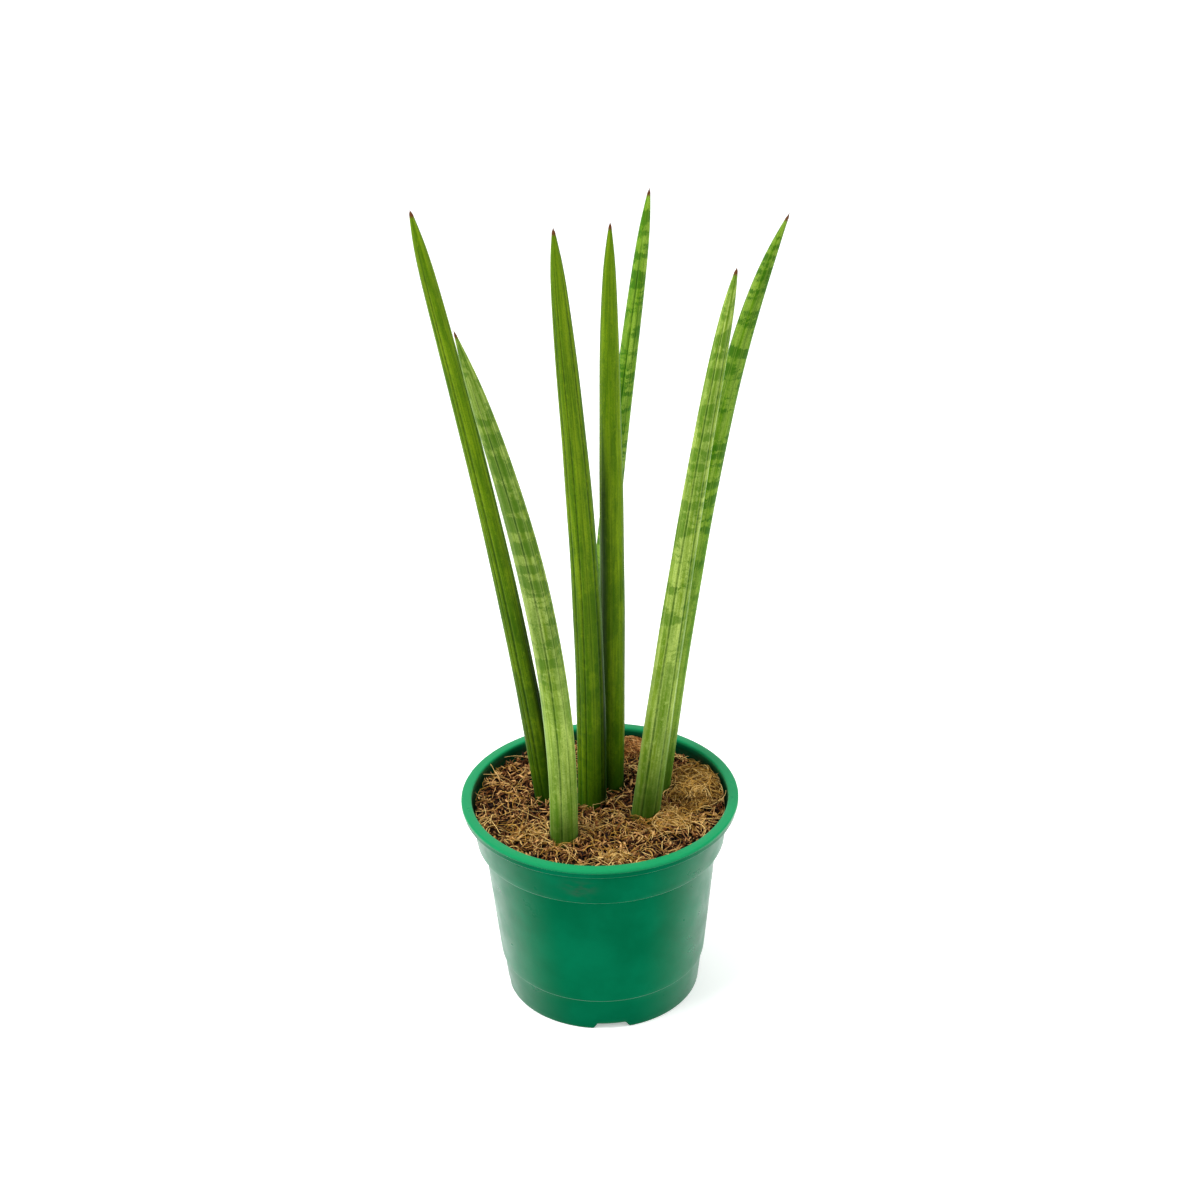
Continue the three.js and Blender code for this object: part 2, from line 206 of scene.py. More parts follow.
class Wiring:
    """Adds nodes to a material or a group. An input is given as a number, a colour or the
    output that feeds it, by its name or its place."""

    def __init__(self, tree):
        self.tree = tree

    def node(self, kind, inputs=None, **settings):
        made = self.tree.nodes.new(kind)
        for key, value in settings.items():
            setattr(made, key, value)
        self.feed(made, inputs or {})
        return made

    def feed(self, node, inputs):
        for key, value in inputs.items():
            if isinstance(value, bpy.types.NodeSocket):
                self.tree.links.new(value, node.inputs[key])
            else:
                node.inputs[key].default_value = value

    def attribute(self, name, output="Fac"):
        return self.node("ShaderNodeAttribute", attribute_name=name).outputs[output]

    def stretched(self, vector, scale):
        inputs = {"Vector": vector, "Scale": scale}
        return self.node("ShaderNodeMapping", inputs).outputs[0]

    def noise(self, vector, scale, detail=3.0, roughness=0.55):
        inputs = {"Vector": vector, "Scale": scale, "Detail": detail, "Roughness": roughness}
        return self.node("ShaderNodeTexNoise", inputs).outputs[0]

    def math(self, operation, a, b=0.0, clamp=False):
        made = self.node("ShaderNodeMath", {0: a, 1: b}, operation=operation, use_clamp=clamp)
        return made.outputs[0]

    def times(self, a, b, clamp=False):
        return self.math("MULTIPLY", a, b, clamp)

    def between(self, value, low, high, start=0.0, end=1.0):
        inputs = {0: value, 1: low, 2: high, 3: start, 4: end}
        made = self.node("ShaderNodeMapRange", inputs, interpolation_type="SMOOTHSTEP")
        return made.outputs[0]

    def blend(self, share, a, b, way="MIX"):
        inputs = {0: share, 6: a, 7: b}
        made = self.node("ShaderNodeMix", inputs, data_type="RGBA", blend_type=way)
        return made.outputs[2]

    def painted(self, color, tone, mask, share):
        """The colour, covered with the tone where the mask says, by no more than the share."""
        return self.blend(self.times(mask, share), color, tone)

    def bump(self, height, strength, distance):
        inputs = {"Height": height, "Strength": strength, "Distance": distance}
        return self.node("ShaderNodeBump", inputs).outputs[0]


def new_group(name, inputs, outputs):
    """An empty shader group with named inputs and outputs, and its wiring and its two ends."""
    tree = bpy.data.node_groups.new(name, "ShaderNodeTree")
    for key, kind in inputs.items():
        tree.interface.new_socket(key, in_out="INPUT", socket_type="NodeSocket" + kind)
    for key, kind in outputs.items():
        tree.interface.new_socket(key, in_out="OUTPUT", socket_type="NodeSocket" + kind)
    wiring = Wiring(tree)
    return tree, wiring, wiring.node("NodeGroupInput"), wiring.node("NodeGroupOutput")


def new_material(name):
    material = bpy.data.materials.new(name)
    material.use_nodes = True
    return material, Wiring(material.node_tree), material.node_tree.nodes["Principled BSDF"]


def lengthwise_streaks():
    """Fine lines that run along a leaf: noise squeezed round it and drawn out along it."""
    tree, w, given, out = new_group("lengthwise_streaks", {"Place": "Vector"}, {
        "Fine": "Float", "Broad": "Float", "Dashes": "Float"})
    place = given.outputs["Place"]
    w.feed(out, {
        "Fine": w.noise(w.stretched(place, (1.5, 1.5, 0.05)), 1.0, 4.0),
        "Broad": w.noise(w.stretched(place, (0.42, 0.42, 0.018)), 1.0, 2.0),
        "Dashes": w.noise(w.stretched(place, (0.5, 0.5, 0.34)), 1.0, 3.0),
    })
    return tree


BAND_SHIFT = 3.2  # millimetres for each whole step of the noise that makes the edges ragged
BAND_TURN = 0.05  # how fast a band changes round the leaf


def ragged_bands():
    """Bands across a leaf: noise drawn out round it, whose height along the leaf is shifted
    column by column, so that each band's edge is ragged."""
    tree, w, given, out = new_group("ragged_bands", {"Place": "Vector", "Spacing": "Float"}, {
        "Band": "Float"})
    place = given.outputs["Place"]
    column = w.noise(w.stretched(place, (0.9, 0.9, 0.03)), 1.0, 2.0)
    shift = w.times(w.math("SUBTRACT", column, 0.5), BAND_SHIFT)
    parts = w.node("ShaderNodeSeparateXYZ", {0: place})
    raised = w.math("ADD", parts.outputs[2], shift)
    along = w.math("DIVIDE", raised, given.outputs["Spacing"])
    around = w.times(parts.outputs[0], BAND_TURN)
    across = w.times(parts.outputs[1], BAND_TURN)
    moved = w.node("ShaderNodeCombineXYZ", {0: around, 1: across, 2: along}).outputs[0]
    w.feed(out, {"Band": w.between(w.noise(moved, 1.0, 4.0, 0.62), 0.47, 0.56)})
    return tree


BROWN_END = (5.2, 3.4)  # millimetres from the tip where the brown starts and where it is full
STRAW_END = (1.6, 0.8)


def dry_point():
    """A leaf's withered end: brown over its last millimetres, then straw at the very point."""
    tree, w, given, out = new_group("dry_point", {"From Tip": "Float", "Color": "Color"}, {
        "Color": "Color"})
    tip = given.outputs["From Tip"]
    green = given.outputs["Color"]
    brown = w.blend(w.between(tip, *BROWN_END), green, (0.1, 0.036, 0.012, 1))
    w.feed(out, {"Color": w.blend(w.between(tip, *STRAW_END), brown, (0.26, 0.14, 0.07, 1))})
    return tree


LOW_BANDS = (30.0, 12.0)  # heights over the coir, in millimetres, between which these come in
FOOT_ZONE = (34.0, -2.0)
LOW_BAND_SHARE = 0.25
FAINT_BAND_SHARE = 0.22  # what is left of the bands outside their zones
SHADE_SHARE = 0.92


def leaf_finish(name, tones, groups):
    """Living leaf: streaked green with long darker zones, paler mottling and fine grain, bands,
    painted highlights on the shoulders beside its dark grooves, dark flecks, a deeper green
    foot and a dry point. It is darker where its painted shade is high, and towards its outline
    it takes the edge's colour as a painted sheen."""
    material, w, shader = new_material(name)
    place = w.attribute("leaf_place", "Vector")
    groove = w.attribute("groove")
    along = w.attribute("along")
    tip = w.attribute("from_tip")
    streaks = w.node("ShaderNodeGroup", {"Place": place}, node_tree=groups["streaks"])
    inputs = {"Place": place, "Spacing": tones["spacing"]}
    bands = w.node("ShaderNodeGroup", inputs, node_tree=groups["bands"])

    broad = w.between(streaks.outputs["Broad"], 0.35, 0.65)
    color = w.blend(broad, tones["green"], tones["light"])
    zones = w.between(w.noise(w.stretched(place, (0.22, 0.22, 0.03)), 1.0, 3.0), 0.42, 0.62)
    color = w.painted(color, tones["dark"], zones, 0.5)
    mottle = w.noise(w.stretched(place, (0.45, 0.45, 0.3)), 1.0, 4.0, 0.65)
    color = w.painted(color, tones["light"], w.between(mottle, 0.5, 0.68), 0.55)
    grain = w.between(w.noise(place, 1.5, 2.0, 0.6), 0.46, 0.68)
    color = w.painted(color, tones["dark"], grain, 0.42)
    fine = w.between(streaks.outputs["Fine"], 0.36, 0.7)
    color = w.painted(color, tones["dark"], fine, tones["streak"])

    zone = w.between(along, *tones["band_zone"])
    low_zone = w.between(along, *LOW_BANDS)
    strength = w.math("MAXIMUM", w.times(zone, tones["band"]), w.times(low_zone, LOW_BAND_SHARE))
    strength = w.math("MAXIMUM", strength, tones["band"] * FAINT_BAND_SHARE)
    color = w.painted(color, tones["dark"], bands.outputs["Band"], strength)

    dashes = w.between(streaks.outputs["Dashes"], 0.3, 0.62, 0.35, 1.0)
    # painted highlight: paler shoulders beside the dark grooves
    shoulder = w.times(w.between(groove, 0.005, 0.1), w.between(groove, 0.32, 0.12))
    color = w.painted(color, tones["light"], shoulder, tones["ridge"])
    line = w.times(w.times(groove, dashes), tones["line"], clamp=True)
    color = w.blend(line, color, tones["groove"])

    flecks = w.between(w.noise(place, 1.15, 2.0, 0.5), 0.69, 0.74)
    color = w.painted(color, tones["groove"], flecks, tones["fleck"])
    color = w.painted(color, tones["foot"], w.between(along, *FOOT_ZONE), 0.62)
    # painted shade: darker green where the leaf's shade value is high
    shaded = w.times(w.attribute("shade"), SHADE_SHARE)
    color = w.blend(shaded, color, (0.04, 0.1, 0.02, 1), "MULTIPLY")
    point = w.node("ShaderNodeGroup", {"From Tip": tip, "Color": color}, node_tree=groups["point"])

    # painted sheen: towards the outline, where the skin turns away, the colour goes to the edge
    # tone
    facing = w.node("ShaderNodeLayerWeight", {"Blend": 0.5}).outputs["Facing"]
    rim = w.between(facing, 0.62, 0.95)
    color_with_painted_sheen = w.painted(point.outputs["Color"], tones["edge"], rim, 0.5)
    pores = w.noise(place, 3.2, 2.0)
    relief = w.math("ADD", w.times(streaks.outputs["Fine"], 0.7), w.times(pores, 0.3))
    w.feed(shader, {
        "Base Color": color_with_painted_sheen,
        "Roughness": w.between(pores, 0.3, 0.7, 0.38, 0.55),
        "Normal": w.bump(relief, 0.5, 0.25 * MM),
        "Specular IOR Level": tones["gloss"],
    })
    return material


DARK_FOOT = (18.5 * MM, 12.0 * MM)  # heights on the pot between which each colour comes in
# the lip's painted highlight, then the ends of a painted shadow line under the lip
LIP_PAINTED_HIGHLIGHT = (99.8 * MM, 101.0 * MM)
UNDER_LIP_SHADOW = (92.5 * MM, 96.8 * MM)
LIP_SHADOW_EDGE = (97.8 * MM, 96.8 * MM)


def pot_finish():
    """Green moulded plastic: faintly mottled, with fine moulding rings, a painted highlight on
    the lip over a painted shadow line under it, a darker foot, a smear of soil on the collar,
    and inside painted shade mixed with coir stains."""
    material, w, shader = new_material("pot_plastic")
    place = w.node("ShaderNodeTexCoord").outputs["Object"]
    height = w.node("ShaderNodeSeparateXYZ", {0: place}).outputs[2]
    inside = w.attribute("inside")
    mottle = w.between(w.noise(place, 34.0, 4.0), 0.3, 0.7)
    color = w.blend(mottle, (0.0006, 0.112, 0.046, 1), (0.0012, 0.142, 0.062, 1))
    smear = w.between(w.noise(w.stretched(place, (180, 180, 420)), 1.0, 4.0), 0.36, 0.66)
    smear = w.times(smear, w.attribute("smear"))
    color = w.painted(color, (0.034, 0.075, 0.05, 1), smear, 0.75)
    color = w.blend(w.between(height, *DARK_FOOT, 0.0, 0.3), color, (0.0008, 0.1, 0.045, 1))
    # painted highlight: a paler green over the lip's top
    color = w.painted(color, (0.014, 0.29, 0.105, 1), w.between(height, *LIP_PAINTED_HIGHLIGHT), 0.75)
    # painted shadow: a darker line under the lip
    under_lip_shadow = w.times(w.between(height, *UNDER_LIP_SHADOW), w.between(height, *LIP_SHADOW_EDGE))
    color = w.painted(color, (0.0006, 0.075, 0.035, 1), under_lip_shadow, 0.6)
    # inside the pot: painted shade, a near-black green, mixed with brownish coir stains
    stains = w.between(w.noise(place, 120.0, 4.0, 0.6), 0.4, 0.75)
    shade_and_stains = w.blend(stains, (0.001, 0.035, 0.012, 1), (0.03, 0.035, 0.015, 1))
    color = w.painted(color, shade_and_stains, inside, 0.85)
    rings = w.noise(w.stretched(place, (12, 12, 1400)), 1.0, 2.0)
    facing = w.node("ShaderNodeLayerWeight", {"Blend": 0.5}).outputs["Facing"]
    w.feed(shader, {
        "Base Color": color,
        "Roughness": w.between(w.noise(place, 90.0, 4.0), 0.3, 0.7, 0.27, 0.4),
        "Normal": w.bump(rings, 0.1, 0.04 * MM),
        "Specular IOR Level": w.between(facing, 0.3, 0.95, 0.0, 0.5),
    })
    return material


def fibre_tones():
    """Colour of one fibre or chip out of many: from its own tint, with darker specks on it."""
    tree, w, given, out = new_group("fibre_tones", {
        "Tint": "Float", "Place": "Vector", "Dark": "Color", "Middle": "Color", "Light": "Color"}, {
        "Color": "Color", "Specks": "Float"})
    tint = given.outputs["Tint"]
    low = w.blend(w.between(tint, 0.05, 0.6), given.outputs["Dark"], given.outputs["Middle"])
    tone = w.blend(w.between(tint, 0.5, 1.0), low, given.outputs["Light"])
    specks = w.noise(given.outputs["Place"], 900.0, 3.0)
    dim = w.between(specks, 0.3, 0.7, 0.35, 0.0)
    w.feed(out, {"Color": w.blend(dim, tone, given.outputs["Dark"]), "Specks": specks})
    return tree


FIBRES = {
    "coir": ((0.01, 0.0025, 0.0008, 1), (0.21, 0.07, 0.014, 1), (0.88, 0.5, 0.18, 1)),
    "coir_reddish": ((0.16, 0.05, 0.01, 1), (0.66, 0.29, 0.075, 1), (0.95, 0.6, 0.25, 1)),
    "coir_golden": ((0.1, 0.042, 0.006, 1), (0.55, 0.29, 0.045, 1), (0.9, 0.62, 0.23, 1)),
}  # each fibre's dark, middle and light colour


def fibre_finish(name, group):
    """Dry plant fibre, rough and with little gloss."""
    material, w, shader = new_material(name)
    place = w.node("ShaderNodeTexCoord").outputs["Object"]
    dark, middle, light = FIBRES[name]
    tones = w.node("ShaderNodeGroup", {
        "Tint": w.attribute("tint"), "Place": place,
        "Dark": dark, "Middle": middle, "Light": light}, node_tree=group)
    specks = tones.outputs["Specks"]
    w.feed(shader, {
        "Base Color": tones.outputs["Color"],
        "Normal": w.bump(specks, 0.4, 0.2 * MM),
        "Roughness": w.between(specks, 0.3, 0.7, 0.7, 0.95),
        "Specular IOR Level": 0.2,
    })
    return material


# ---- leaves

LEAF_RINGS = 270
LEAF_SIDES = 120
GROOVE_DEPTH = 0.5 * MM
TIP_CROWDING = 1.3  # above 1, a leaf's rings crowd together towards its tip
POINT_LENGTH = 5.0 * MM  # the last stretch, which draws in to a fine dry point
POINT_RADIUS = 0.27 * MM
POINT_ROUNDING = 8  # how soon the point has its whole radius
POINT_GROWTH = 0.36  # share of the girth that the drawn-in stretch gains
POINT_POWER = 1.2
POINT_LEAST = 0.6  # the point is never finer than this share of its radius, near its root
TIP_SLIMNESS = 0.45  # share of its girth that a leaf loses at the tip
TIP_SLIM_LENGTH = 12.0 * MM
UNEVENNESS = 0.01
GROOVE_DEPTHS = [0.3, 0.6, 1.0]  # shares of the whole depth
GROOVE_WIDTHS = (0.05, 0.1)  # in radians, as is the wander
GROOVE_WANDER = 0.05
GROOVE_FADE = 0.16  # share of the leaf's height over which the grooves fade out
NOISE_STEP = 40  # millimetres between the noise of one leaf and that of the next
RIND = 0.1 * MM  # the grown leaf lies this far inside the CAD's rings

# In each leaf finish, edge is the colour of a painted sheen along the outline, and the ridge share
# is a painted highlight beside the grooves.
DARK_LEAF = {
    "green": (0.1, 0.195, 0.001, 1), "light": (0.185, 0.29, 0.006, 1),
    "dark": (0.028, 0.09, 0.001, 1), "groove": (0.008, 0.035, 0.002, 1),
    "foot": (0.03, 0.13, 0.004, 1), "edge": (0.05, 0.22, 0.06, 1),
    "streak": 0.5, "line": 0.7, "ridge": 0.3, "band": 0.5, "band_zone": (200.0, 60.0),
    "spacing": 22.0, "fleck": 0.3, "gloss": 0.05,
}
PALE_LEAF = {
    "green": (0.19, 0.3, 0.018, 1), "light": (0.43, 0.56, 0.12, 1),
    "dark": (0.06, 0.16, 0.003, 1), "groove": (0.02, 0.075, 0.006, 1),
    "foot": (0.05, 0.17, 0.008, 1), "edge": (0.3, 0.5, 0.16, 1),
    "streak": 0.35, "line": 0.7, "ridge": 0.4, "band": 0.75, "band_zone": (40.0, 120.0),
    "spacing": 6.0, "fleck": 0.5, "gloss": 0.06,
}
BANDED_LEAF = {
    "green": (0.14, 0.29, 0.006, 1), "light": (0.28, 0.43, 0.05, 1),
    "dark": (0.03, 0.13, 0.001, 1), "groove": (0.015, 0.08, 0.003, 1),
    "foot": (0.04, 0.16, 0.006, 1), "edge": (0.2, 0.42, 0.06, 1),
    "streak": 0.3, "line": 0.7, "ridge": 0.3, "band": 0.85, "band_zone": (60.0, 130.0),
    "spacing": 4.6, "fleck": 0.4, "gloss": 0.06,
}
LEAVES = {
    "leaf_back_left": ("leaf_dark", 11, 9), "leaf_front_left": ("leaf_pale", 12, 8),
    "leaf_middle_front": ("leaf_dark", 13, 11), "leaf_middle": ("leaf_dark", 14, 8),
    "leaf_middle_back": ("leaf_banded", 15, 7), "leaf_front_right": ("leaf_pale", 16, 8),
    "leaf_back_right": ("leaf_banded", 17, 7),
}  # each leaf's finish, its random seed and how many grooves run round it
SHADES = {
    "leaf_back_left": ((-5, 25, 90, 200), (0.7, 0.3, 0.1, 0.0)),
    "leaf_front_left": ((-5, 18, 34, 60, 110, 200), (0.35, 0.0, 0.2, 0.0, 0.35, 0.3)),
    "leaf_middle_front": ((-5, 24, 120, 230), (0.4, 0.0, 0.0, 0.12)),
    "leaf_middle": ((-5, 24, 120, 230), (0.65, 0.0, 0.0, 0.0)),
    "leaf_middle_back": ((-5, 60, 140, 230), (0.6, 0.3, 0.05, 0.0)),
    "leaf_front_right": ((-5, 30, 60, 200), (0.5, 0.25, 0.05, 0.05)),
    "leaf_back_right": ((-5, 40, 120, 230), (0.6, 0.2, 0.12, 0.25)),
}  # painted shade: how dark each leaf is, at heights in millimetres over the coir
PAINTED_SHADOW_SIDES = {
    "leaf_middle": (-134, 30, 190, 150), "leaf_middle_front": (-20, 26, 120, 70),
    "leaf_back_left": (-30, 24, 120, 60),
}  # painted shadow on a side facing a near leaf: its heading and half width, and heights where it fades


def leaf_line(node):
    """Heights of a leaf's CAD rings, and the middle and the radius of each. All corners of one
    ring lie at one height, so the corners are sorted into rings by their height."""
    points = distinct_points(node)
    heights, ring = np.unique(np.round(points[:, 2], 5), return_inverse=True)
    count = np.bincount(ring)
    middle = np.stack([np.bincount(ring, points[:, i]) / count for i in (0, 1)], -1)
    away = np.hypot(*(points[:, :2] - middle[ring]).T)
    radius = np.zeros(len(heights))
    np.maximum.at(radius, ring, away)
    return heights, middle, radius


def groove_field(rise, angle, count, rng):
    """How deep in a groove each point of a leaf lies, from 0 to 1: a narrow bell round each of
    the grooves, which wander a little, differ in depth and fade out towards the tip."""
    field = np.zeros(np.broadcast(rise, angle).shape)
    for i in range(count):
        start = (i + rng.uniform(-0.3, 0.3)) * FULL_TURN / count
        depth = rng.choice(GROOVE_DEPTHS)
        width = rng.uniform(*GROOVE_WIDTHS)
        pace, phase = rng.uniform(0.4, 1.1), rng.uniform(0, FULL_TURN)
        wander = GROOVE_WANDER * np.sin(FULL_TURN * rise * pace + phase)
        apart = angle_between(angle - start, wander)
        field += depth * np.exp(-((apart / width) ** 2))
    fade = np.clip((1 - rise) / GROOVE_FADE, 0, 1) ** 0.7
    return np.clip(field * fade, 0, 1)


def leaf_shade(name, along, angle):
    """Painted shade: how much darker a leaf is at each point: straight lines between the values
    of its own heights, and a bell of painted shadow round the heading of a side that stands
    close to another leaf."""
    shade = np.interp(along, *SHADES[name]) * np.ones_like(angle)
    # painted shadow on the side that faces a near leaf
    if name in PAINTED_SHADOW_SIDES:
        heading, width, top, bottom = PAINTED_SHADOW_SIDES[name]
        apart = angle_between(angle - math.radians(heading), PLANT_TURN)
        fade = np.clip((top - along) / (top - bottom), 0, 1)
        shade = shade + np.exp(-((apart / math.radians(width)) ** 2)) * fade
    return np.clip(shade, 0, 1)


def make_leaf(name, finish, seed, count, bed_level):
    """Rings carried up the leaf's middle line. Each radius is the leaf's girth, less a slow
    unevenness, less the grooves. Over its last stretch it is no more than a fine point's
    radius plus a share of the girth that grows as the distance to the tip to the power 1.2,
    and a bell round the tip takes away a further share."""
    rng = np.random.default_rng(seed)
    heights, middle, girth = leaf_line(name)
    thickest = girth.max()
    share = np.linspace(0, 1, LEAF_RINGS + 1)[:-1]
    z = heights[0] + (heights[-1] - heights[0]) * (1 - (1 - share) ** TIP_CROWDING)
    x = smooth_through(z, heights, middle[:, 0])
    y = smooth_through(z, heights, middle[:, 1])
    radius = np.clip(smooth_through(z, heights, girth), 0, thickest) - RIND
    below_tip = heights[-1] - z
    to_tip = np.clip(below_tip / POINT_LENGTH, 0, 1)
    drawn_in = POINT_RADIUS * (1 - (1 - to_tip) ** POINT_ROUNDING)
    drawn_in = drawn_in + thickest * POINT_GROWTH * to_tip ** POINT_POWER
    radius = np.where(to_tip < 1, np.minimum(radius, drawn_in), radius)
    radius = np.maximum(radius, POINT_RADIUS * np.sqrt(to_tip) * POINT_LEAST)
    radius = radius * (1 - TIP_SLIMNESS * np.exp(-((below_tip / TIP_SLIM_LENGTH) ** 1.5)))
    angle = np.arange(LEAF_SIDES) * FULL_TURN / LEAF_SIDES
    rise = np.clip((z - bed_level) / (heights[-1] - bed_level), 0, 1)[:, None]
    groove = groove_field(rise, angle[None, :], count, rng)
    pace, phase = rng.uniform(3, 5), rng.uniform(0, FULL_TURN)
    uneven = UNEVENNESS * (1 + np.sin(FULL_TURN * rise * pace + 2 * angle + phase))
    thickness = radius[:, None] / thickest
    reach = radius[:, None] * (1 - uneven) - GROOVE_DEPTH * thickness * groove
    grid = field(
        x[:, None] + reach * np.cos(angle), y[:, None] + reach * np.sin(angle), z[:, None])
    along = (z - bed_level) / MM
    around = thickest / MM
    place = field(
        around * np.cos(angle), around * np.sin(angle) + NOISE_STEP * seed, along[:, None])
    # painted shade for each point of the leaf
    shade = leaf_shade(name, along[:, None], angle[None, :])
    ends = [(*middle[0], heights[0]), (*middle[-1], heights[-1])]
    tall = np.repeat(along, LEAF_SIDES)
    top = (heights[-1] - bed_level) / MM
    values = {
        "leaf_place": with_ends(place, place[0].mean(0), place[-1].mean(0)),
        "groove": np.append(groove.ravel(), [0, 0]),
        "shade": np.append(shade.ravel(), [shade[0].mean(), shade[-1].mean()]),
        "along": np.append(tall, [tall[0], top]),
        "from_tip": np.append(top - tall, [top - tall[0], 0]),
    }
    quads, triangles = skin(LEAF_RINGS, LEAF_SIDES)
    piece = make_piece(name + "_grown", with_ends(grid, *ends), quads, triangles, finish, values)
    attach(piece, "root")
    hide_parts(name)


# ---- pot

# The pot's measures. Lengths are in millimetres.
LIP_WIDTH = 5.0
BEAD_INSET = 0.7
COLLAR_INSET = 4.0
COLLAR_DRAFT = 2.6
COLLAR_STEP = 3.3
BODY_DRAFT = 6.0
FOOT_STEP = 0.9
FOOT_DRAFT = 1.9
WALL = 1.5
BEAD_HEIGHT = 1.8
LIP_HEIGHT = 4.5
COLLAR_DEPTH = 22.8
FOOT_HEIGHT = 18.0
STEP_SLOPE = 0.6
FOOT_RECESS = 4.0
FLOOR_THICKNESS = 1.6
FOOT_RING_WIDTH = 2.2
NOTCH_COUNT = 4
NOTCH_WIDTH = 17.0
NOTCH_HEIGHT = 2.8
NOTCH_SLANT = 1.8
NOTCH_TURN = math.radians(4.3)
HOLE_COUNT = 6
HOLE_RADIUS = 4.5
HOLE_INSET = 15.3
HOLE_SIDES = 32
POT_SIDES = 360
LIP_POINTS = 6  # of the section's points, those that still round the lip on its way down
SHADE_AND_STAIN_START = 0.4  # share of the lip's height below the rim where painted shade and stains start inside
SHADE_AND_STAIN_FADE = 2.0
SMEAR_HEADING = math.radians(-100)
SMEAR_LEVEL = 88.0
SMEAR_WIDTH = 7.0
SMEAR_HEIGHT = 4.5


def eased(corners, longest=2.5, steps=4):
    """A profile whose corners are rounded: each is replaced by a short parabola that leaves
    one side and meets the next, and long straight stretches are divided."""
    path = [np.array(corners[0][:2])]
    for before, here, after in zip(corners, corners[1:], corners[2:]):
        corner, back, on = (np.array(p[:2], float) for p in (here, before, after))
        behind, ahead = np.linalg.norm(back - corner), np.linalg.norm(on - corner)
        cut = min(here[2], 0.45 * behind, 0.45 * ahead)
        start = corner + cut * (back - corner) / behind
        end = corner + cut * (on - corner) / ahead
        for t in np.linspace(0, 1, steps + 1):
            path.append((1 - t) ** 2 * start + 2 * t * (1 - t) * corner + t * t * end)
    path.append(np.array(corners[-1][:2]))
    whole = [path[0]]
    for a, b in zip(path, path[1:]):
        parts = max(1, math.ceil(np.linalg.norm(b - a) / longest))
        whole += [a + (b - a) * (i + 1) / parts for i in range(parts)]
    return np.array(whole)


def pot_profile(rim, height):
    """The pot's section from the middle of its underside, out over the foot ring, up its side,
    over the lip, down the inside and in to the middle of the floor, as radius, height and
    the size of each corner's rounding, in millimetres."""
    mouth = rim - LIP_WIDTH
    collar_top = rim - COLLAR_INSET
    collar_low = collar_top - COLLAR_DRAFT
    body_top = collar_low - COLLAR_STEP
    body_low = body_top - BODY_DRAFT
    foot_top = body_low - FOOT_STEP
    foot = foot_top - FOOT_DRAFT
    lip_low = height - LIP_HEIGHT
    collar_base = height - COLLAR_DEPTH
    bead_low = height - BEAD_HEIGHT
    floor_top = FOOT_RECESS + FLOOR_THICKNESS
    shoulder = STEP_SLOPE + WALL
    ring = foot - FOOT_RING_WIDTH
    section = [
        (0.01, FOOT_RECESS, 0), (ring, FOOT_RECESS, 0.5), (ring, 0, 0.4), (foot, 0, 0.6),
        (foot_top, FOOT_HEIGHT - STEP_SLOPE, 0.3), (body_low, FOOT_HEIGHT, 0.5),
        (body_top, collar_base, 0.4), (collar_low, collar_base + STEP_SLOPE, 0.6),
        (collar_top, lip_low, 0.7), (rim - BEAD_INSET, lip_low, 0.5),
        (rim - BEAD_INSET, bead_low, 0.25), (rim, bead_low, 0.3),
        (rim, height, 1.0), (mouth, height, 1.0), (mouth, lip_low, 0.5),
        (collar_low - WALL, collar_base + shoulder, 0.8), (body_top - WALL, collar_base, 0.8),
        (body_low - WALL, FOOT_HEIGHT + shoulder, 0.8), (foot_top - WALL, FOOT_HEIGHT, 0.8),
        (foot - WALL, floor_top, 1.5), (0.01, floor_top, 0),
    ]
    return eased(section), foot


def notch_rise(angle, foot):
    """How far the foot ring's lower edge is lifted at an angle: a flat-topped notch with
    slanting sides at each of its places."""
    turn = FULL_TURN / NOTCH_COUNT
    first = NOTCH_TURN + PLANT_TURN - math.pi / 2
    apart = np.abs((angle - first + turn / 2) % turn - turn / 2)
    half = NOTCH_WIDTH / 2 / foot
    slant = NOTCH_SLANT / foot
    return NOTCH_HEIGHT * np.clip((half - apart) / slant, 0, 1)


def make_pot(finish):
    """The section turned about the axis. Below the raised floor each point is squeezed up
    above the notch at its angle. The drain holes are cut by six short rods."""
    low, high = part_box("pot")
    rim = min(high.x - low.x, high.y - low.y) / 2 / MM
    profile, foot = pot_profile(rim, high.z / MM)
    angle = np.arange(POT_SIDES) * FULL_TURN / POT_SIDES
    radius = np.broadcast_to(profile[:, :1], (len(profile), POT_SIDES)).copy()
    height = np.broadcast_to(profile[:, 1:], radius.shape).copy()
    near_foot = (height < FOOT_RECESS) & (radius > foot - FOOT_RING_WIDTH - 1)
    lifted = height + notch_rise(angle, foot)[None, :] * (1 - height / FOOT_RECESS)
    height = np.where(near_foot, lifted, height)
    grid = field(radius * np.cos(angle), radius * np.sin(angle), height) * MM
    order = np.arange(len(profile))[:, None]
    over_lip = np.argmax(profile[:, 1] > high.z / MM - 1e-6)
    # inside: where the inner wall takes painted shade and coir stains, from a little below the rim
    depth = np.clip((high.z / MM - LIP_HEIGHT * SHADE_AND_STAIN_START - height) / SHADE_AND_STAIN_FADE, 0, 1)
    inside = np.where(order > over_lip + LIP_POINTS, depth, 0.0)
    quads, triangles = skin(len(profile), POT_SIDES)
    ends = [(0, 0, FOOT_RECESS * MM), (0, 0, (FOOT_RECESS + FLOOR_THICKNESS) * MM)]
    aside = angle_between(angle - SMEAR_HEADING, PLANT_TURN)[None, :] * rim / SMEAR_WIDTH
    smear = np.exp(-(aside ** 2) - ((height - SMEAR_LEVEL) / SMEAR_HEIGHT) ** 2)
    smear = np.where(order < over_lip, smear, 0.0)
    values = {
        "inside": np.append(inside.ravel(), [0, 1]), "smear": np.append(smear.ravel(), [0, 0])}
    points = with_ends(grid, *ends)
    piece = make_piece("pot_moulded", points, quads, triangles, finish, values)
    cut_drain_holes(piece, (foot - HOLE_INSET) * MM)
    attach(piece, "root")
    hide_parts("pot")


